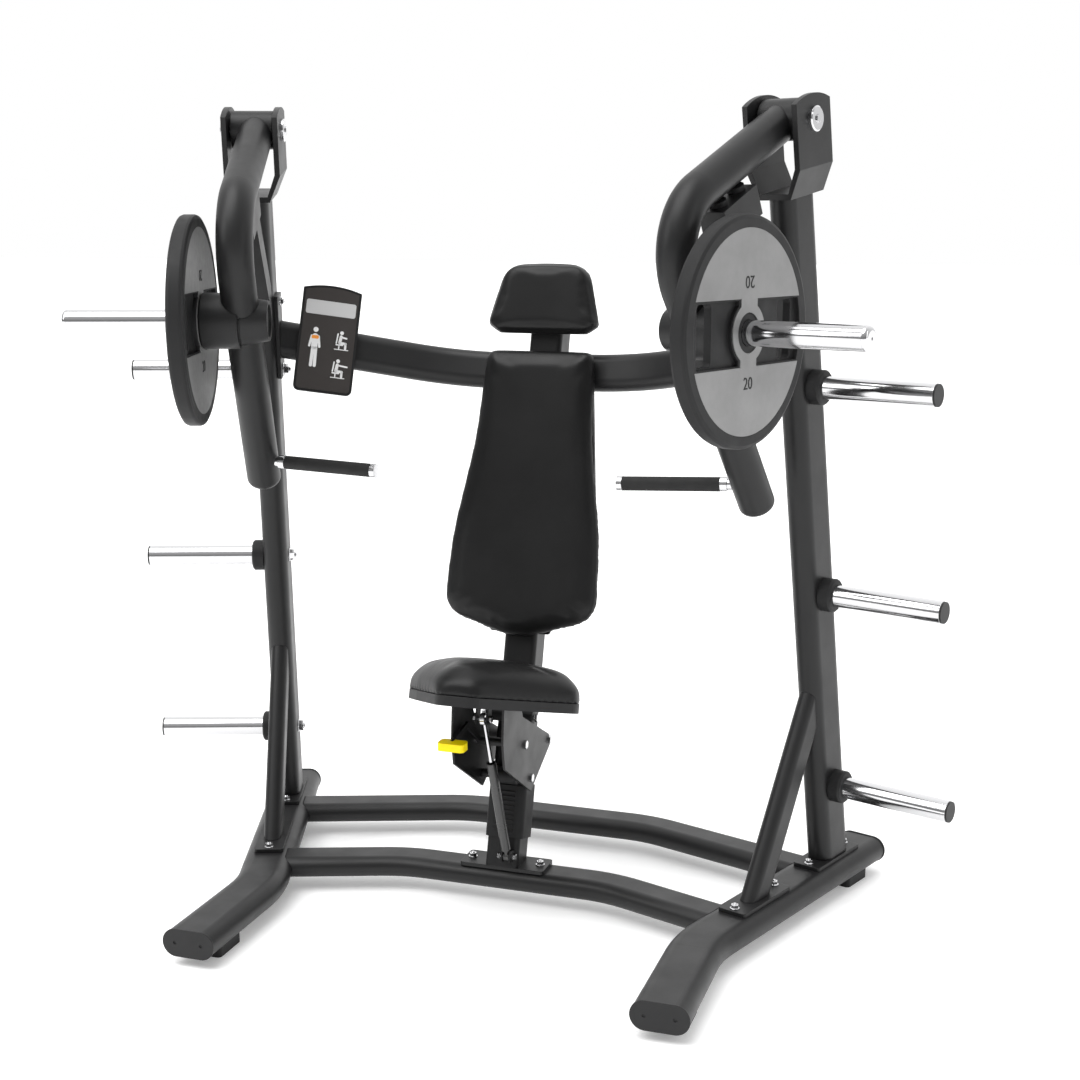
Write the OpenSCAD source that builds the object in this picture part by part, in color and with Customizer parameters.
// Plate-loaded chest press: a pair of toed-out side frames, a leaning middle column with a back pad and a
// height-adjustable seat, and two swinging press arms that carry weight plates.
// Origin: middle of the footprint at floor level. +Z is up and -Y is the way the sitter faces.

/* [Side frames] */
// Toe-out of each side frame about the vertical, degrees
toe = 20; // [19:0.5:21]
// Distance of a side frame's plane from the middle of the machine
frame_offset = 641; // [636:1:646]
// Width of the flat-oval frame tube
tube_w = 120; // [116:1:124]
// Thickness of the flat-oval frame tube
tube_h = 60; // [58:1:62]
// Wall of the frame tubes
tube_wall = 3; // [2.5:0.5:4]
// Height of the base rails' centre line
rail_z = 54.5; // [54:0.5:56]
// Front reach of a base rail, from its bend to its tip
rail_front = 326; // [300:1:350]
// Rear reach of a base rail, from its bend to its tip
rail_rear = 741; // [720:1:760]
// Backward tilt of the line from foot to top of an upright, degrees of forward lean
upright_lean = 9.65; // [9:0.05:10.5]
// Height of the arm pivots
pivot_z = 1779; // [1760:1:1800]

/* [Crossbars] */
// Width of the two base crossbars
base_bar_w = 100; // [96:1:104]
// Height of the two base crossbars
base_bar_h = 50; // [48:1:52]
// Height of the upper crossbar's section
upper_bar_h = 90; // [86:1:94]
// Depth of the upper crossbar's section
upper_bar_d = 50; // [46:1:52]

/* [Column and pads] */
// Backward lean of the column, degrees
column_lean = 15.38; // [14.5:0.1:16]
// Width of the square column
column_w = 80; // [78:1:82]
// Length of the column along its own axis
column_len = 1370; // [1350:1:1400]
// Overall length of the back pad
back_len = 686; // [670:1:700]
// Depth of the seat from its rear edge to its nose
seat_depth = 342; // [330:1:350]
// Overall width of the seat
seat_width = 407; // [390:1:410]

/* [Press arms] */
// Diameter of the arm tube
arm_d = 78; // [76:1:80]
// Slope of the arm's upper leg below the horizontal, degrees
arm_drop = 25.1; // [24.5:0.1:25.5]
// Rearward slope of the arm's lower leg from the vertical, degrees
arm_rake = 33.5; // [33:0.1:34]
// Centre-line radius of the arm's bend
arm_bend_r = 132; // [125:1:145]
// Diameter of the horns and storage pegs
peg_d = 50; // [49:0.5:50]
// Diameter of a weight plate
plate_d = 450; // [440:1:455]
// Thickness of a weight plate
plate_t = 36; // [34:1:40]
// Diameter of a hand grip
grip_d = 32; // [30:1:36]

/* [Hidden] */
$fn = 64;

// Colours
coat = "#3a3a3a";
rubber = "#1d1d1d";
chrome = "#d8d8d8";
vinyl = "#151515";
plate_grey = "#9c9c9c";
grip_yellow = "#ffe100";

// The fore-and-aft shift that puts the origin at the middle of the footprint
y_shift = 251.3;
hands = ["left", "right"];
gap = 0.3;
running = 0.05;
swell = 0.05;
lap = 1;

// Base: rails, foot plates and pads
rail_bend_v = -242.4;
rail_bend_r = 330;
rail_top = rail_z + tube_h / 2;
cap_t = 4;
cap_lip = 1.5;
pad_size = [80, 95];
pad_z = rail_z - tube_h / 2;
mount_plate = [70, 200, 9];
mount_bolt_y = 84;
bolt_r = 5;
hole_r = 5.5;
plate_top = rail_top + mount_plate[2];
upright_foot_v = 337.3;
upright_plate_v = 317;
brace_plate_v = -12;
brace_angle = 29.8;
brace_size = [42, 78];
brace_len = 490;

// Uprights: lengths are measured along the upright from the floor
function on_upright(z) = z / cos(upright_lean);
pivot_t = on_upright(pivot_z);
pivot_v = upright_foot_v - pivot_z * tan(upright_lean);
clevis_drop = 154;
upright_top = pivot_t - clevis_drop;
peg_heights = [277, 750, 1223];
peg_len = 290;
collar_len = 29;
peg_root_r = peg_d / 2 - 1;
peg_bolt_r = 8;
peg_hole_r = 8.5;
upper_plate_t = on_upright(peg_heights[2]) + mount_bolt_y;

// Clevis: half widths across and its arched outline
ear_out = 63.5;
ear_t = 12;
clevis_foot = 38;
clevis_w = 138;
fold_drop = 95;
arch_top = 51;
arch_r = 165;
pin_r = 15;
washer_r = 26;
washer_t = 7;

// Crossbars
base_bar_z = 57;
bar_bend_r = 330;
front_bar_v = -104;
front_bar_y = -203;
rear_bar_v = 262;
rear_bar_y = 190;
upper_end = [604, -94.3, 1296];
upper_bend_x = 220;
upper_slope_y = 0.5;
upper_slope_z = -0.2;
upper_bend_r = 460;

// Column frame: its local Z runs up the column and its local -Y points forward
column_y = -205;
column_z = 90;
column_d = 78;
column_corner = 12;
column_face = column_d / 2;
base_plate = [206, 80, 9];
base_plate_top = base_bar_z + base_bar_h / 2 + base_plate[2];
sleeve_from = 60;
sleeve_to = 183;
sleeve_t = 6;
rib_count = 9;
rib_pitch = 11;

// Pads on the column: distances forward of the column's axis
bracket_t = 6;
board_t = 12;
board_front = column_face + bracket_t + board_t;
pad_widest = 74;
pad_front = 89;
back_top = 1212;
back_bottom = back_top - back_len;
head_bottom = 1249;
head_top = 1423;
head_board_t = 8;

// Seat carriage at its lowest setting
side_plate_x = 57;
side_plate_t = 5;
seat_base = 369;
seat_board_t = 22;
seat_top = 457;
seat_rear = 95;
seat_nose = seat_rear + seat_depth;
axle_r = 6;
roller_r = 20;
roller_gap = 0.4;
roller_d = column_face + roller_r + roller_gap;
low_roller_s = 206;
high_roller_s = 292;
spacer_at = [345, 60];
lever_at = [285, 125];
lever_apex = [322, 222];
lever_end = [286, 304];
lever_grip_at = [278, 314];
lever_x = -46;
lever_bar = [6, 12];
gas_low = [19, 54];
gas_high = [340, 243];
gas_low_x = 19;
gas_rise = norm(gas_high - gas_low);
gas_len = norm([gas_rise, gas_low_x]);
gas_tilt = atan2(gas_high[1] - gas_low[1], gas_high[0] - gas_low[0]);
gas_slant = atan2(gas_low_x, gas_rise);
gas_body = 257;
gas_body_r = 11;
gas_rod_r = 5;
gas_stud_r = 4;
gas_eye_slack = 6;

// Press arms, in the plane of a side frame: [rearward, up]
hub_at = [-283, 1363.4];
arm_end_z = 975.5;
arm_wall = 4;
arm_inset = 8;
arm_r = arm_d / 2;
arm_corner_z = (pivot_z - tan(arm_drop) * (pivot_v - hub_at[0] - hub_at[1] * tan(arm_rake)))
    / (1 + tan(arm_drop) * tan(arm_rake));
arm_corner_v = hub_at[0] - (arm_corner_z - hub_at[1]) * tan(arm_rake);
arm_upper_len = norm([pivot_v - arm_corner_v, pivot_z - arm_corner_z]);
arm_lower_len = (arm_corner_z - arm_end_z) / cos(arm_rake);
arm_turn = 90 + arm_rake - arm_drop;
arm_tip = 15;
hub_r = 43;
hub_half = 47;
drum = [-5, 77];
drum_r = 60;
cone_r = [53.5, 43];
cone_end = -66;
horn_len = 287;
horn_cap_len = 10;
handle_z = 1030;
handle_drop = 12;
handle_tip_x = 284;
handle_collar_len = 15;
handle_cap_len = 12;

// ---- Frames of reference ----

// The whole machine, moved so that the origin is at the middle of its footprint
module machine() {
    translate([0, y_shift, 0]) children();
}

// A side frame: local X points outward, square to the frame, and local Y points rearward in its plane
module side_frame(hand) {
    machine()
        mirror([hand == "left" ? 1 : 0, 0, 0])
            rotate([0, 0, -toe])
                children();
}

// Along an upright: local Z runs up its axis from floor level
module on_upright_axis() {
    translate([frame_offset, upright_foot_v, 0])
        rotate([upright_lean, 0, 0])
            children();
}

// The arm pivot, with local X along the pivot axis
module at_pivot() {
    translate([frame_offset, pivot_v, pivot_z]) children();
}

// Along the column: local Z runs up its axis, local -Y points forward
module on_column() {
    machine()
        translate([0, column_y, column_z])
            rotate([-column_lean, 0, 0])
                children();
}

// A point of the column frame given as [height along the column, distance forward of its axis]
module at_column(point, x = 0) {
    on_column() translate([x, -point[1], point[0]]) children();
}

// ---- Shared shapes ----

// Flat-oval outline: a circle where both sizes are equal
module flat_oval(wide, high) {
    round = min(wide, high);
    straight = [wide > high ? wide - high : wide, wide > high ? high : high - wide];
    if (wide == high) circle(d = round);
    if (wide != high) square(straight, center = true);
    if (wide != high) for (side = [-1, 1])
        translate([side * max(0, wide - high) / 2, side * max(0, high - wide) / 2]) circle(d = round);
}

// Flat-oval tube section, wide along X
module oval_tube(wide, high, wall) {
    difference() {
        flat_oval(wide, high);
        flat_oval(wide - 2 * wall, high - 2 * wall);
    }
}

// Square outline with round corners
module round_square(size, corner) {
    square([size[0] - 2 * corner, size[1]], center = true);
    square([size[0], size[1] - 2 * corner], center = true);
    for (x = [-1, 1], y = [-1, 1])
        translate([x * (size[0] / 2 - corner), y * (size[1] / 2 - corner)]) circle(corner);
}

// A straight length of a section along +Y
module run(length) {
    rotate([-90, 0, 0]) linear_extrude(length) children();
}

// A bend and the straight leg after it, starting at the origin along +Y and turning towards +X.
// The section swells by a hair in the bend, and the straight legs lap into it.
module bend_and_leg(leg, radius, turn, size, wall) {
    translate([radius, 0, 0])
        rotate([0, 0, 180 - turn])
            rotate_extrude(angle = turn, $fn = 96)
                translate([radius, 0])
                    oval_tube(size[0] + 2 * swell, size[1] + 2 * swell, wall + 2 * swell);
    translate([radius, 0, 0])
        rotate([0, 0, -turn])
            translate([-radius, -lap, 0])
                run(leg + lap) oval_tube(size[0], size[1], wall);
}

// A tube bent once in the XY plane, its corner at the origin: it comes in along +Y and turns towards +X.
// Each leg is measured from the corner of its centre line.
module bent_tube(leg_in, leg_out, radius, turn, size, wall) {
    setback = radius * tan(turn / 2);
    seam = size[0] == size[1] ? 30 : 0;
    translate([0, -leg_in, 0])
        run(leg_in - setback + lap) rotate(seam) oval_tube(size[0], size[1], wall);
    translate([0, -setback, 0])
        bend_and_leg(leg_out - setback, radius, turn, size, wall);
}

// A tube along X with both ends bent towards -Y, its corners at X = -half_mid and half_mid
module bowed_tube(half_mid, leg, radius, turn, size, wall) {
    setback = radius * tan(turn / 2);
    straight = half_mid - setback;
    translate([-straight - lap, 0, 0])
        rotate([0, 0, -90]) run(2 * (straight + lap)) oval_tube(size[0], size[1], wall);
    for (side = [0, 1])
        mirror([side, 0, 0])
            translate([straight, 0, 0])
                rotate([0, 0, -90]) bend_and_leg(leg - setback, radius, turn, size, wall);
}

// A cylinder along +X
module rod_x(length, r) {
    rotate([0, 90, 0]) cylinder(length, r = r);
}

// A hex-head bolt along -Z, seated on a washer at the origin
module bolt(shank, r = bolt_r) {
    cylinder(2, r = 2.1 * r);
    translate([0, 0, 2]) cylinder(1.5 * r, r = 1.75 * r, $fn = 6);
    translate([0, 0, 2 + 1.5 * r]) cylinder(0.6 * r, r1 = r, r2 = 0.6 * r);
    translate([0, 0, -shank]) cylinder(shank, r = r);
}

// Both bolt places of a mounting plate
module bolt_pair() {
    for (end = [-1, 1])
        translate([0, end * mount_bolt_y, 0]) children();
}

// ---- Base ----

module rail_shape(hand, wall) {
    side_frame(hand)
        translate([frame_offset, rail_bend_v, rail_z])
            rotate([0, 0, toe])
                bent_tube(rail_front, rail_rear, rail_bend_r, toe, [tube_w, tube_h], wall);
}

module foot_plate_places() {
    for (v = [upright_plate_v, brace_plate_v])
        translate([frame_offset, v, rail_top]) children();
}

module base_rail(hand) {
    color(coat) difference() {
        rail_shape(hand, tube_wall);
        side_frame(hand) foot_plate_places() bolt_pair()
            translate([0, 0, -tube_wall - 1]) cylinder(tube_wall + 2, r = hole_r);
    }
}

// Ends of the base rails: the front ones first, then the rear ones
module rail_end_places(hand) {
    side_frame(hand) {
        translate([frame_offset, rail_bend_v, rail_z])
            rotate([0, 0, toe + 180])
                translate([0, rail_front, 0]) children();
        translate([frame_offset, rail_bend_v + rail_rear, rail_z]) children();
    }
}

module tube_end_caps() {
    cap_hole_x = (tube_w - tube_h) / 2 + 1.5;
    color(rubber) {
        for (hand = hands)
            rail_end_places(hand)
                difference() {
                    union() {
                        run(cap_t) flat_oval(tube_w + 2 * cap_lip, tube_h + 2 * cap_lip);
                        translate([0, -20, 0])
                            run(20) oval_tube(tube_w - 2 * tube_wall - gap, tube_h - 2 * tube_wall - gap, 3);
                    }
                    for (side = [-1, 1])
                        translate([side * cap_hole_x, cap_t - 2, 0])
                            rotate([-90, 0, 0]) cylinder(3, r = 4);
                }
        on_column() translate([0, 0, column_len])
            linear_extrude(cap_t) round_square([column_w, column_d], column_corner);
    }
}

module foot_pads() {
    front_v = -617 - pad_size[1] / 2;
    color(rubber) for (hand = hands) {
        machine()
            mirror([hand == "left" ? 1 : 0, 0, 0])
                translate([520, front_v, 0])
                    linear_extrude(pad_z) round_square(pad_size, 10);
        side_frame(hand)
            translate([frame_offset, 406, 0])
                linear_extrude(pad_z) round_square(pad_size, 10);
    }
}

// A base crossbar, its ends cut to the sides of the base rails
module base_bar(mid_y, meet_v) {
    corner_x = (meet_v - mid_y * cos(toe)) / sin(toe);
    corner_u = corner_x * cos(toe) - mid_y * sin(toe);
    difference() {
        machine()
            translate([0, mid_y, base_bar_z])
                bowed_tube(
                    corner_x, frame_offset - corner_u - 20, bar_bend_r, toe,
                    [base_bar_w, base_bar_h], tube_wall
                );
        for (hand = hands)
            side_frame(hand)
                translate([frame_offset, meet_v - 150, rail_z])
                    run(300) flat_oval(tube_w, tube_h);
    }
}

module front_crossbar() {
    color(coat) difference() {
        base_bar(front_bar_y, front_bar_v);
        column_base_bolts() translate([0, 0, -tube_wall - 1]) cylinder(tube_wall + 2, r = hole_r);
    }
}

module rear_crossbar() {
    color(coat) base_bar(rear_bar_y, rear_bar_v);
}

// ---- Uprights ----

module upright_solid(from, to) {
    on_upright_axis()
        translate([0, 0, from])
            linear_extrude(to - from) rotate(90) flat_oval(tube_w, tube_h);
}

// Everything of a side frame below its foot plates' top face
module below_plates() {
    translate([frame_offset - 200, -400, plate_top - 400]) cube([400, 1000, 400]);
}

module at_pegs(heights = peg_heights) {
    on_upright_axis()
        for (height = heights)
            translate([0, 0, on_upright(height)])
                rotate([-upright_lean, 0, 0]) children();
}

module upright(hand) {
    color(coat) side_frame(hand) difference() {
        on_upright_axis()
            linear_extrude(upright_top) rotate(90) oval_tube(tube_w, tube_h, tube_wall);
        below_plates();
        at_pegs() translate([-tube_h, 0, 0]) rod_x(2 * tube_h, peg_hole_r);
        on_upright_axis()
            translate([-tube_h / 2 - 1, 0, upper_plate_t + mount_bolt_y])
                rod_x(tube_wall + 2, hole_r);
    }
}

module foot_plates() {
    color(coat) for (hand = hands) side_frame(hand) foot_plate_places() difference() {
        linear_extrude(mount_plate[2]) round_square([mount_plate[0], mount_plate[1]], 8);
        bolt_pair() translate([0, 0, -1]) cylinder(mount_plate[2] + 2, r = hole_r);
    }
}

module brace(hand) {
    color(coat) side_frame(hand) difference() {
        translate([frame_offset, brace_plate_v, plate_top])
            rotate([-brace_angle, 0, 0])
                translate([0, 0, -60])
                    linear_extrude(brace_len + 60)
                        rotate(90) oval_tube(brace_size[1], brace_size[0], tube_wall);
        below_plates();
        upright_solid(100, 900);
    }
}

module ear_profile() {
    polygon([
        [-ear_out, arch_top], [-ear_out, -fold_drop], [-clevis_foot, -clevis_drop],
        [clevis_foot, -clevis_drop], [ear_out, -fold_drop], [ear_out, arch_top],
        [ear_out - ear_t, arch_top], [ear_out - ear_t, -fold_drop + 3],
        [clevis_foot - 5, -clevis_drop + ear_t], [5 - clevis_foot, -clevis_drop + ear_t],
        [ear_t - ear_out, -fold_drop + 3], [ear_t - ear_out, arch_top]
    ]);
}

module clevis(hand) {
    color(coat) side_frame(hand) on_upright_axis() translate([0, 0, pivot_t]) difference() {
        intersection() {
            translate([0, clevis_w / 2, 0])
                rotate([90, 0, 0]) linear_extrude(clevis_w) ear_profile();
            translate([-ear_out - 1, 0, 0])
                rotate([90, 0, 90]) linear_extrude(2 * ear_out + 2) intersection() {
                    translate([-clevis_w / 2, -clevis_drop]) square([clevis_w, clevis_drop + arch_top]);
                    translate([0, arch_top - arch_r]) circle(arch_r, $fn = 128);
                }
        }
        translate([-ear_out - 2, 0, 0]) rod_x(2 * ear_out + 4, pin_r + running);
    }
}

module pivot_pins() {
    head_t = 5;
    color(chrome) for (hand = hands) side_frame(hand) at_pivot() {
        translate([-ear_out, 0, 0]) rod_x(2 * ear_out, pin_r);
        for (side = [-1, 1])
            mirror([side < 0 ? 1 : 0, 0, 0])
                translate([ear_out, 0, 0]) {
                    rod_x(washer_t, washer_r);
                    translate([washer_t, 0, 0]) rotate([0, 90, 0]) {
                        cylinder(2, r1 = washer_r, r2 = washer_r - 3);
                        cylinder(head_t, r = 9, $fn = 6);
                    }
                }
    }
}

// Along the arm's upper leg: local -Y runs from the pivot down the leg, local Z is square to it
module on_arm_leg() {
    at_pivot() rotate([arm_drop, 0, 0]) children();
}

stop_along = [205, 336];
stop_drop = 51;
stop_deep = 63;
stop_wide = 60;

module stop_brackets() {
    strut = [54, 50];
    strut_foot = [90, 1350];
    strut_len = 340;
    color(coat) for (hand = hands) side_frame(hand) difference() {
        union() {
            on_arm_leg()
                translate([-stop_wide / 2, -stop_along[1], -stop_drop - stop_deep])
                    cube([stop_wide, stop_along[1] - stop_along[0], stop_deep]);
            translate([frame_offset, strut_foot[0], strut_foot[1]])
                rotate([45, 0, 0])
                    linear_extrude(strut_len) square(strut, center = true);
        }
        upright_solid(1200, upright_top);
        on_arm_leg() translate([-50, -600, -stop_drop]) cube([100, 600, 200]);
    }
}

module stop_bumpers() {
    bumper_t = stop_drop - arm_r - gap;
    color(rubber) for (hand = hands) side_frame(hand) on_arm_leg()
        for (along = [236, 306])
            translate([0, -along, -stop_drop]) cylinder(bumper_t, r = 18);
}

// ---- Storage pegs ----

module storage_pegs(hand) {
    socket = 20;
    color(chrome) side_frame(hand) at_pegs() translate([tube_h / 2, 0, 0]) difference() {
        union() {
            rod_x(collar_len + 1, peg_root_r);
            translate([collar_len, 0, 0]) rod_x(peg_len - cap_t - collar_len, peg_d / 2);
        }
        translate([socket, 0, 0]) rod_x(peg_len, peg_d / 2 - 4);
        translate([-1, 0, 0]) rod_x(socket + 2, peg_bolt_r + running);
    }
}

module peg_collars() {
    color(rubber) for (hand = hands) side_frame(hand) at_pegs()
        translate([tube_h / 2, 0, 0])
            rotate([0, 90, 0])
                rotate_extrude()
                    polygon([
                        [peg_root_r + running, 0], [38, 0], [38, collar_len - 4], [34, collar_len],
                        [peg_root_r + running, collar_len]
                    ]);
}

module peg_end_caps() {
    color(rubber) for (hand = hands) side_frame(hand) at_pegs()
        translate([tube_h / 2 + peg_len - cap_t, 0, 0]) {
            rod_x(cap_t, peg_root_r);
            translate([-12, 0, 0]) rod_x(12, peg_d / 2 - 4 - running);
        }
}

// ---- Upper crossbar ----

upper_tilt = atan2(upper_slope_z, upper_slope_y);
upper_turn = atan(norm([upper_slope_y, upper_slope_z]));
upper_leg = (upper_end[0] - upper_bend_x) / cos(upper_turn);
upper_mid = [
    upper_end[1] + upper_slope_y * (upper_end[0] - upper_bend_x),
    upper_end[2] + upper_slope_z * (upper_end[0] - upper_bend_x)
];

// The plane of the upper crossbar's centre line, with its middle at the origin
module on_upper_bar() {
    machine()
        translate([0, upper_mid[0], upper_mid[1]])
            rotate([upper_tilt, 0, 0]) children();
}

// Two halves, welded to the sides of the column
module upper_crossbar() {
    color(coat) difference() {
        on_upper_bar()
            bowed_tube(
                upper_bend_x, upper_leg + 40, upper_bend_r, upper_turn, [upper_bar_d, upper_bar_h], tube_wall
            );
        for (hand = hands)
            side_frame(hand)
                on_upright_axis()
                    translate([-tube_h / 2 - mount_plate[2], -200, 1000]) cube([300, 400, 600]);
        column_solid(1000, column_len + 200);
    }
}

module upper_plate_places() {
    on_upright_axis()
        translate([-tube_h / 2, 0, upper_plate_t])
            rotate([0, -90, 0]) children();
}

module upper_bar_plates() {
    color(coat) for (hand = hands) side_frame(hand) upper_plate_places() difference() {
        linear_extrude(mount_plate[2]) round_square([mount_plate[1], mount_plate[0]], 8);
        translate([mount_bolt_y, 0, -1]) cylinder(mount_plate[2] + 2, r = hole_r);
        translate([-mount_bolt_y, 0, -1]) cylinder(mount_plate[2] + 2, r = peg_hole_r);
    }
}

// ---- Fasteners ----

module column_base_bolts() {
    machine()
        for (side = [-1, 1])
            translate([side * mount_bolt_y, front_bar_y, base_bar_z + base_bar_h / 2]) children();
}

// A cross stud with a nut at each end, from one side to the other of the column frame
module stud(place, from, to) {
    nut_t = 6;
    at_column(place, from) rod_x(to - from, gas_stud_r);
    for (x = [from - nut_t, to])
        at_column(place, x) rotate([0, 90, 0]) cylinder(nut_t, r = 1.9 * gas_stud_r, $fn = 6);
}

module frame_bolts() {
    grip_len = mount_plate[2] + 10;
    peg_grip_len = tube_h + 18;
    color(chrome) {
        for (hand = hands) side_frame(hand) {
            foot_plate_places() bolt_pair() translate([0, 0, mount_plate[2]]) bolt(grip_len);
            upper_plate_places() translate([mount_bolt_y, 0, mount_plate[2]]) bolt(grip_len);
            at_pegs([peg_heights[0], peg_heights[1]])
                translate([-tube_h / 2, 0, 0]) rotate([0, -90, 0]) bolt(peg_grip_len, peg_bolt_r);
            at_pegs([peg_heights[2]])
                translate([-tube_h / 2 - mount_plate[2], 0, 0])
                    rotate([0, -90, 0]) bolt(peg_grip_len + mount_plate[2], peg_bolt_r);
        }
        column_base_bolts() translate([0, 0, base_plate[2]]) bolt(base_plate[2] + 10);
        stud(gas_low, gas_low_x - 16, gas_low_x + 16);
    }
}

// ---- Column ----

module column_solid(from, to, grow = 0) {
    on_column()
        translate([0, 0, from])
            linear_extrude(to - from)
                round_square([column_w + 2 * grow, column_d + 2 * grow], column_corner + grow);
}

module seat_column() {
    ear = [4, 30, 26];
    color(coat) difference() {
        union() {
            column_solid(-60, column_len);
            for (side = [-1, 1])
                at_column([gas_low[0] - ear[2] / 2, column_face - 2], gas_low_x + side * 10 - ear[0] / 2)
                    translate([0, -ear[1], 0]) cube(ear);
        }
        at_column(gas_low, -20) rod_x(100, gas_stud_r + running);
        on_column()
            translate([0, 0, -70])
                linear_extrude(column_len + 80)
                    round_square(
                        [column_w - 2 * tube_wall, column_d - 2 * tube_wall], column_corner - tube_wall
                    );
        translate([-200, -400, base_plate_top - 300]) cube([400, 600, 300]);
    }
}

module column_base_plate() {
    color(coat) machine() translate([0, front_bar_y, base_plate_top - base_plate[2]]) difference() {
        linear_extrude(base_plate[2]) round_square([base_plate[0], base_plate[1]], 8);
        for (side = [-1, 1])
            translate([side * mount_bolt_y, 0, -1]) cylinder(base_plate[2] + 2, r = hole_r);
    }
}

// Ribbed stop sleeve around the foot of the column
module column_sleeve() {
    rib_wide = 46;
    color(rubber) difference() {
        union() {
            column_solid(sleeve_from, sleeve_to, sleeve_t);
            for (i = [0 : rib_count - 1])
                at_column([sleeve_to - 18 - i * rib_pitch, column_face + sleeve_t - 2])
                    translate([-rib_wide / 2, -4, 0]) cube([rib_wide, 4, 4]);
        }
        column_solid(sleeve_from - 1, sleeve_to + 1);
    }
}

// ---- Pads ----

module circles(places) {
    for (place = places, side = [-1, 1])
        translate([side * place[0], place[1]]) circle(place[2], $fn = 48);
}

// Outlines as round corners [half spacing, height, radius]
back_corners = [
    [back_top - 25, 113, 25], [back_top - 413, 117, 60],
    [back_bottom + 100, 125, 65], [back_bottom + 150, 0, 150]
];
head_corners = [
    [head_top - 50, 66, 48], [head_bottom + 26, 127, 12], [head_bottom + 10, 106, 10]
];
seat_corners = [
    [seat_nose - 45, 20, 45], [seat_nose - 192, 84, 80], [seat_nose - 246, seat_width / 2 - 60, 60],
    [seat_rear + 40, 120, 40]
];

// A pad outline, every round corner drawn in by an inset
module pad_outline(corners, inset = 0) {
    hull() circles([for (c = corners) [c[1], c[0], max(2, c[2] - inset)]]);
}

// A slab lying against the column's front, its outline in the plane square to the column's depth
module slab_on_column(from, to) {
    on_column()
        translate([0, -from, 0])
            rotate([90, 0, 0]) linear_extrude(to - from) children();
}

module padded_slab(corners, base, widest, front, bevel) {
    hull() {
        slab_on_column(base, base + 1) pad_outline(corners, 4);
        slab_on_column(widest - 4, widest) pad_outline(corners);
        slab_on_column(front - 1, front) pad_outline(corners, bevel);
    }
}

module pad_brackets() {
    plates = [[600, 120], [1090, 120], [1300, 90]];
    color(coat) for (plate = plates)
        slab_on_column(column_face, column_face + bracket_t)
            translate([0, plate[0]]) round_square([150, plate[1]], 8);
}

module backrest_board() {
    color(rubber) slab_on_column(column_face + bracket_t, board_front)
        pad_outline(back_corners, 10);
}

module backrest_cushion() {
    color(vinyl) padded_slab(back_corners, board_front, pad_widest, pad_front, 22);
}

module headrest_board() {
    color(rubber) slab_on_column(column_face + bracket_t, column_face + bracket_t + head_board_t)
        pad_outline(head_corners, 8);
}

module headrest_cushion() {
    color(vinyl) padded_slab(
        head_corners, column_face + bracket_t + head_board_t, column_face + 24, pad_front, 9
    );
}

// ---- Placard on the upper crossbar ----

placard_size = [139, 258];
placard_arch = 240;
placard_at = [-487.6, -88, 1298];
placard_lean = 13;
placard_roll = 2;

module on_placard() {
    machine()
        translate(placard_at)
            rotate([0, 0, atan(upper_slope_y)])
                rotate([0, -atan(upper_slope_z / norm([1, upper_slope_y])), 0])
                    rotate([90 - placard_lean, 0, 0])
                        rotate([0, 0, placard_roll]) children();
}

module placard_outline(grow) {
    intersection() {
        round_square([placard_size[0] + 2 * grow, placard_size[1] + 2 * grow], 14 + grow);
        translate([0, placard_size[1] / 2 - placard_arch]) circle(placard_arch + grow, $fn = 128);
    }
}

module placard_frame() {
    depth = 8;
    color(coat) difference() {
        on_placard() {
            translate([0, 0, -depth]) linear_extrude(depth) placard_outline(0);
            translate([0, -40, -60]) linear_extrude(60 - depth) round_square([50, 70], 6);
        }
        upper_bar_cutter();
    }
}

// The left end of the upper crossbar as a solid, to shape what is fixed to it
module upper_bar_cutter() {
    on_upper_bar()
        mirror([1, 0, 0])
            translate([upper_bend_x, 0, 0])
                rotate([0, 0, -90 - upper_turn])
                    run(600) flat_oval(upper_bar_d, upper_bar_h);
}

module placard_panel() {
    color("#2a2523") on_placard()
        linear_extrude(1.5) placard_outline(-6);
}

// ---- Seat carriage ----

// A plate parallel to the column's side, its outline drawn as
// [height along the column, distance forward of its axis]
module side_slab(x, thick) {
    on_column()
        translate([x - thick / 2, 0, 0])
            rotate([0, -90, 180])
                mirror([0, 0, 1])
                    translate([0, 0, -thick]) linear_extrude(thick) children();
}

module side_plate_outline() {
    polygon([
        [seat_base, 290], [seat_base, 170], [348.5, 153.6], [305, -55.9],
        [279.9, -70.9], [174.5, 47.7], [233, 249], [289.4, 276]
    ]);
}

module seat_side_plates() {
    ear = [4, 24, seat_base - gas_high[0] + 12];
    color(coat) for (x = [-17, 9]) difference() {
        at_column([gas_high[0] - 12, gas_high[1] - ear[1] / 2], x)
            translate([0, -ear[1], 0]) cube(ear);
        at_column(gas_high, -100) rod_x(200, gas_stud_r + running);
    }
    color(coat) for (side = [-1, 1]) difference() {
        side_slab(side * (side_plate_x + side_plate_t / 2), side_plate_t) side_plate_outline();
        for (place = axle_places())
            at_column(place, -100) rod_x(200, axle_r + running);
    }
}

function axle_places() = [
    [low_roller_s, roller_d], [high_roller_s, -roller_d], spacer_at, lever_at
];

module seat_axles() {
    head_t = 6;
    reach = side_plate_x + side_plate_t;
    color(chrome) stud(gas_high, -18, 14);
    color(chrome) for (place = axle_places())
        at_column(place) {
            translate([-reach, 0, 0]) rod_x(2 * reach, axle_r);
            for (side = [-1, 1])
                mirror([side < 0 ? 1 : 0, 0, 0])
                    translate([reach, 0, 0]) rotate([0, 90, 0]) cylinder(head_t, r = 10, $fn = 6);
        }
}

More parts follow.
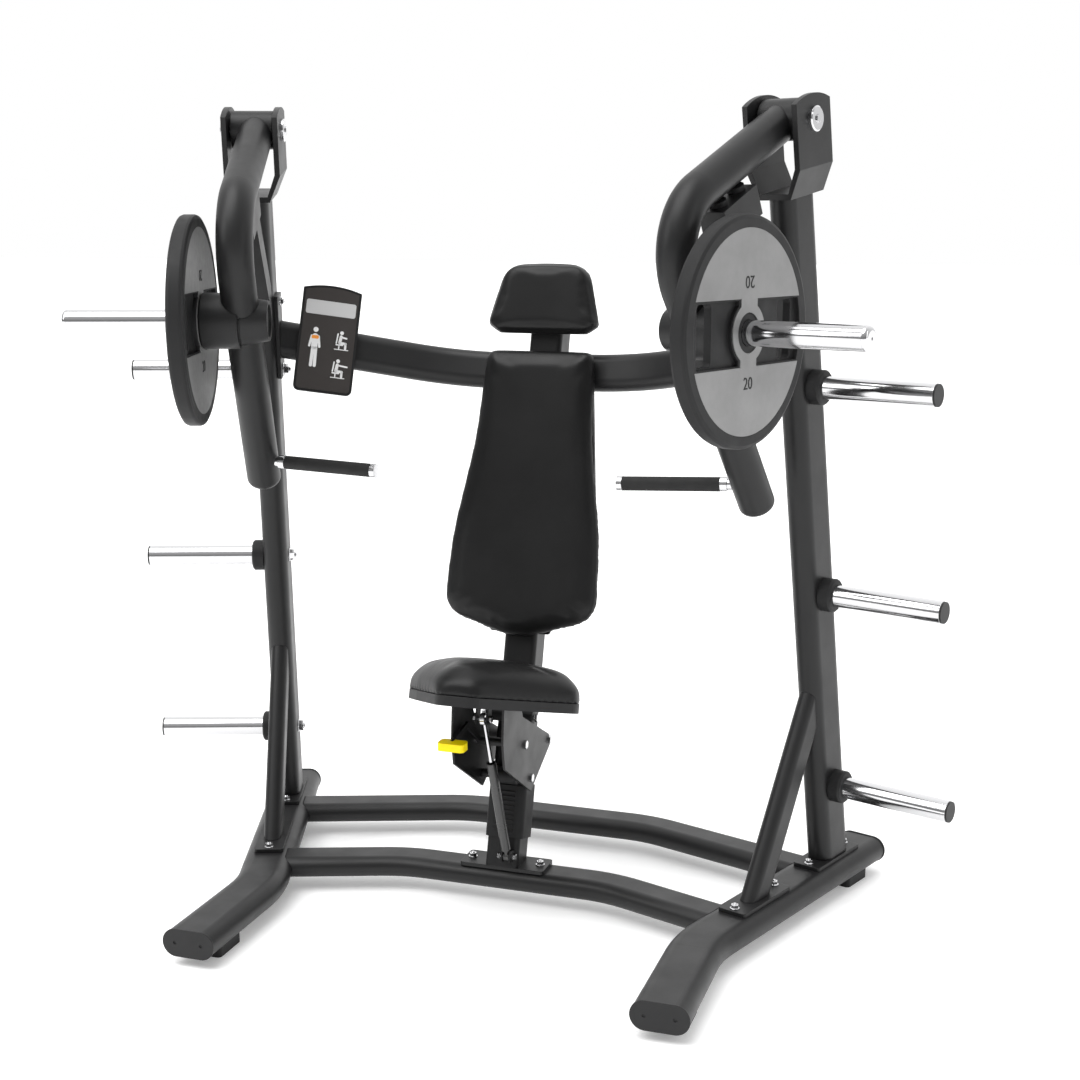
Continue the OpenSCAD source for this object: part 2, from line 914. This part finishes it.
module seat_rollers() {
    half = 30;
    color(rubber) {
        for (place = [[low_roller_s, roller_d], [high_roller_s, -roller_d]])
            at_column(place) difference() {
                union() {
                    translate([-half, 0, 0]) rod_x(2 * half, roller_r);
                    translate([gap - side_plate_x, 0, 0]) rod_x(2 * (side_plate_x - gap), 10);
                }
                translate([-100, 0, 0]) rod_x(200, axle_r + running);
            }
        at_column(spacer_at) difference() {
            translate([-side_plate_x, 0, 0]) rod_x(2 * side_plate_x, 15);
            translate([-100, 0, 0]) rod_x(200, axle_r + running);
        }
    }
}

// A layer of the seat, its outline in the plane square to the column
module seat_layer(from, to) {
    on_column()
        translate([0, 0, from])
            linear_extrude(to - from)
                rotate(180) children();
}

module seat_board() {
    color(rubber) seat_layer(seat_base, seat_base + seat_board_t) pad_outline(seat_corners, 2);
}

module seat_cushion() {
    color(vinyl) hull() {
        seat_layer(seat_base + seat_board_t, seat_base + seat_board_t + 1) pad_outline(seat_corners, 2);
        seat_layer(seat_base + 30, seat_base + 52) pad_outline(seat_corners);
        seat_layer(seat_top - 1, seat_top) pad_outline(seat_corners, 38);
    }
}

// ---- Seat lever ----

// The cranked flat bar of the lever
module lever_crank() {
    side_slab(lever_x, lever_bar[0])
        for (leg = [[lever_at, lever_apex], [lever_apex, lever_end]]) {
            step = leg[1] - leg[0];
            translate(leg[0])
                rotate(atan2(step[1], step[0]))
                    translate([-lever_bar[1] / 2, -lever_bar[1] / 2])
                        square([norm(step) + lever_bar[1], lever_bar[1]]);
        }
}

module seat_lever_bar() {
    sleeve_half = 52;
    color(coat) difference() {
        union() {
            at_column(lever_at, -sleeve_half) rod_x(2 * sleeve_half, 10);
            lever_crank();
        }
        at_column(lever_at, -100) rod_x(200, axle_r + running);
    }
}

module seat_lever_grip() {
    size = [62, 36, 18];
    color(grip_yellow) difference() {
        at_column(lever_grip_at, lever_x + 4)
            rotate([column_lean, 0, 0])
                translate([0, 0, -size[2] / 2])
                    linear_extrude(size[2]) round_square([size[0], size[1]], 9);
        lever_crank();
    }
}

// ---- Gas spring ----

// Along the gas spring, from its lower eye to its upper eye
module on_gas_spring() {
    at_column(gas_low, gas_low_x)
        rotate([gas_tilt, 0, 0])
            rotate([0, -gas_slant, 0]) children();
}

module gas_spring_cylinder() {
    color(rubber) difference() {
        on_gas_spring() {
            translate([-6, 0, 0]) rod_x(12, 10);
            translate([0, 0, 7]) cylinder(14, r = 7);
            translate([0, 0, 20]) cylinder(gas_body - 20, r = gas_body_r);
        }
        at_column(gas_low, gas_low_x - 30) rod_x(60, gas_stud_r + running);
        on_gas_spring() translate([0, 0, 26]) cylinder(gas_body, r = gas_body_r - 2);
    }
}

module gas_spring_rod() {
    inside = 132;
    eye = gas_stud_r + gas_eye_slack;
    color(chrome) on_gas_spring() difference() {
        union() {
            translate([0, 0, gas_body - inside]) cylinder(gas_len - gas_body + inside - eye, r = gas_rod_r);
            translate([0, 0, gas_body - inside]) cylinder(8, r = gas_body_r - 2 - 2 * gap);
            translate([-5, 0, gas_len]) rod_x(10, eye + 4);
        }
        translate([-20, 0, gas_len]) rod_x(40, eye);
    }
}

// ---- Press arms ----

module arm_path() {
    translate([frame_offset - arm_inset, arm_corner_v, arm_corner_z])
        rotate([180 + arm_drop, 0, 0])
            rotate([0, -90, 0])
                bent_tube(
                    arm_upper_len, arm_lower_len - arm_tip, arm_bend_r, arm_turn, [arm_d, arm_d], arm_wall
                );
}

module at_hub() {
    translate([frame_offset, hub_at[0], hub_at[1]]) children();
}

// The arm's lower leg as a plain solid, to shape what is welded round it
module lower_leg_solid(r) {
    at_hub()
        rotate([arm_rake, 0, 0])
            translate([-arm_inset, 0, -500]) cylinder(640, r = r);
}

module arm_tube(hand) {
    plug = 8;
    cap_r = arm_r - swell;
    color(coat) side_frame(hand) {
        difference() {
            arm_path();
            at_pivot() translate([-hub_half, 0, 0]) rod_x(2 * hub_half, hub_r);
        }
        translate([frame_offset - arm_inset, arm_end_v(), arm_end_z])
            rotate([180 + arm_rake, 0, 0])
                translate([0, 0, -arm_tip])
                    rotate_extrude() {
                        translate([0, -plug]) square([cap_r, plug]);
                        square([cap_r - arm_tip, arm_tip]);
                        intersection() {
                            translate([cap_r - arm_tip, 0]) circle(arm_tip);
                            translate([cap_r - arm_tip, 0]) square(arm_tip);
                        }
                    }
    }
}

function arm_end_v() = hub_at[0] + (hub_at[1] - arm_end_z) * tan(arm_rake);

module arm_hub(hand) {
    spacer_r = 24;
    reach = ear_out - ear_t - 2 * gap;
    color(coat) side_frame(hand) at_pivot() difference() {
        union() {
            translate([-hub_half, 0, 0]) rod_x(2 * hub_half, hub_r);
            translate([-reach, 0, 0]) rod_x(2 * reach, spacer_r);
        }
        translate([-100, 0, 0]) rod_x(200, pin_r + running);
    }
}

module horn_hub(hand) {
    color(coat) side_frame(hand) difference() {
        at_hub() rotate([0, 90, 0]) rotate_extrude() polygon([
            [0, drum[1]], [drum_r - 3, drum[1]], [drum_r, drum[1] - 3], [drum_r, drum[0]],
            [cone_r[0] - 2, drum[0]], [cone_r[0] - 2, drum[0] - 4], [cone_r[0], drum[0] - 4],
            [cone_r[1], cone_end], [cone_r[1] - 7, cone_end], [cone_r[1] - 7, cone_end + 6],
            [0, cone_end + 6]
        ]);
        lower_leg_solid(arm_r);
    }
}

module horn(hand) {
    color(chrome) side_frame(hand) at_hub() translate([drum[1], 0, 0]) difference() {
        rod_x(horn_len, peg_d / 2);
        translate([10, 0, 0]) rod_x(horn_len, peg_d / 2 - 4);
    }
}

module horn_cap(hand) {
    plug = 14;
    fillet = horn_cap_len;
    cap_r = peg_d / 2;
    color(chrome) side_frame(hand) at_hub() translate([drum[1] + horn_len, 0, 0])
        rotate([0, 90, 0]) difference() {
            union() {
                rotate_extrude() {
                    square([cap_r - fillet, fillet]);
                    intersection() {
                        translate([cap_r - fillet, 0]) circle(fillet);
                        translate([cap_r - fillet, 0]) square(fillet);
                    }
                }
                translate([0, 0, -plug]) cylinder(plug, r = cap_r - 4 - running);
            }
            translate([0, 0, fillet - 5]) cylinder(10, r = 3);
        }
}

// ---- Handles ----

// Where the handle's line meets the arm's axis, as [X, Y, Z] on the right-hand side before the shift
handle_v = hub_at[0] + (hub_at[1] - handle_z) * tan(arm_rake);
handle_root = [
    (frame_offset - arm_inset) * cos(toe) + handle_v * sin(toe),
    handle_v * cos(toe) - (frame_offset - arm_inset) * sin(toe),
    handle_z
];
handle_run = handle_root[0] - handle_tip_x;
handle_slope = atan(handle_drop / handle_run);
handle_len = handle_run / cos(handle_slope);
handle_weld = arm_r / cos(toe) + 2;
handle_rod_r = 12.5;

// Along a handle from its root on the arm: local X runs to its tip
module on_handle(hand) {
    machine()
        mirror([hand == "left" ? 1 : 0, 0, 0])
            translate(handle_root)
                rotate([0, handle_slope, 180]) children();
}

module handle(hand) {
    collar_at = handle_weld + 4;
    color(chrome) {
        difference() {
            on_handle(hand) rod_x(handle_len - handle_cap_len, handle_rod_r);
            side_frame(hand) lower_leg_solid(arm_r);
        }
        on_handle(hand) {
            translate([collar_at, 0, 0]) difference() {
                rod_x(handle_collar_len, grip_d / 2);
                translate([-1, 0, 0]) rod_x(handle_collar_len + 2, handle_rod_r);
                translate([handle_collar_len / 2, 0, 0]) rotate([90, 0, 0]) cylinder(40, r = 2);
            }
            translate([handle_len - handle_cap_len, 0, 0]) rod_x(handle_cap_len, grip_d / 2);
        }
    }
}

module handle_grip(hand) {
    from = handle_weld + 4 + handle_collar_len;
    color(rubber) on_handle(hand) translate([from, 0, 0]) difference() {
        rod_x(handle_len - handle_cap_len - from, grip_d / 2 - 0.5);
        translate([-1, 0, 0]) rod_x(handle_len, handle_rod_r + running);
    }
}

// ---- Weight plates ----

plate_r = plate_d / 2;
plate_bore_r = peg_d / 2 + 0.6;
plate_gap = 1;
rim_edge = 8;
disc_r = 199;
disc_t = 3;
disc_hub = [39, 58];
disc_neck = 58;
pocket_h = 65;
pocket_deep = 10;
slot_at = 145;
slot_size = [50, 118];

module on_plate(hand) {
    side_frame(hand) at_hub() translate([drum[1] + plate_gap, 0, 0])
        rotate([0, 90, 0]) children();
}

// Grey face: two segments, a hub ring and the neck between them
module disc_outline(grow = 0) {
    difference() {
        union() {
            intersection() {
                circle(disc_r + grow, $fn = 128);
                union() {
                    for (side = [-1, 1])
                        translate([side * (pocket_h + 100), 0]) square([200 + 2 * grow, 500], center = true);
                    square([200, disc_neck + 2 * grow], center = true);
                }
            }
            circle(disc_hub[1] + grow);
        }
        circle(disc_hub[0] - grow);
    }
}

module side_pockets() {
    for (side = [-1, 1])
        translate([0, side * slot_at]) round_square([slot_size[1], slot_size[0]], 10);
}

module plate_rim(hand) {
    color(rubber) on_plate(hand) difference() {
        rotate_extrude($fn = 128) {
            polygon([
                [plate_bore_r, 2], [plate_r - rim_edge, 0], [plate_r - 2, 3], [plate_r, rim_edge],
                [plate_r, plate_t - rim_edge], [plate_r - 2, plate_t - 3], [plate_r - rim_edge, plate_t],
                [plate_bore_r, plate_t - 2]
            ]);
        }
        for (face = [0, 1])
            translate([0, 0, face * plate_t - disc_t])
                linear_extrude(2 * disc_t) disc_outline(gap);
        for (face = [-1, 1])
            translate([0, 0, plate_t / 2 + face * (plate_t / 2 - pocket_deep / 2 + 5)])
                translate([0, 0, -pocket_deep / 2 - 5])
                    linear_extrude(pocket_deep + 10) pocket_outline();
        translate([0, 0, -5]) linear_extrude(plate_t + 10) side_pockets();
    }
}

// Recess beside the hub, between the two grey segments
module pocket_outline() {
    difference() {
        intersection() {
            circle(disc_r - 6, $fn = 128);
            square([2 * pocket_h - 6, 500], center = true);
        }
        circle(disc_hub[1] + 4);
        square([200, disc_neck + 12], center = true);
    }
}

module plate_disc(hand) {
    color(plate_grey) on_plate(hand)
        for (face = [0, 1])
            translate([0, 0, face == 0 ? 0 : plate_t - disc_t])
                linear_extrude(disc_t) disc_outline();
}

// ---- Every node ----

base_rail("left");  // left_base_rail
base_rail("right");  // right_base_rail
tube_end_caps();
foot_pads();
front_crossbar();
rear_crossbar();
upper_crossbar();
upper_bar_plates();
upright("left");  // left_upright
upright("right");  // right_upright
foot_plates();
brace("left");  // left_brace
brace("right");  // right_brace
clevis("left");  // left_clevis
clevis("right");  // right_clevis
pivot_pins();
stop_brackets();
stop_bumpers();
storage_pegs("left");  // left_storage_pegs
storage_pegs("right");  // right_storage_pegs
peg_collars();
peg_end_caps();
frame_bolts();
seat_column();
column_base_plate();
column_sleeve();
pad_brackets();
backrest_board();
backrest_cushion();
headrest_board();
headrest_cushion();
placard_frame();
placard_panel();
seat_side_plates();
seat_rollers();
seat_axles();
seat_board();
seat_cushion();
seat_lever_bar();
seat_lever_grip();
gas_spring_cylinder();
gas_spring_rod();
arm_tube("left");  // left_arm_tube
arm_tube("right");  // right_arm_tube
arm_hub("left");  // left_arm_hub
arm_hub("right");  // right_arm_hub
horn_hub("left");  // left_horn_hub
horn_hub("right");  // right_horn_hub
horn("left");  // left_horn
horn("right");  // right_horn
horn_cap("left");  // left_horn_cap
horn_cap("right");  // right_horn_cap
handle("left");  // left_handle
handle("right");  // right_handle
handle_grip("left");  // left_handle_grip
handle_grip("right");  // right_handle_grip
plate_rim("left");  // left_plate_rim
plate_rim("right");  // right_plate_rim
plate_disc("left");  // left_plate_disc
plate_disc("right");  // right_plate_disc
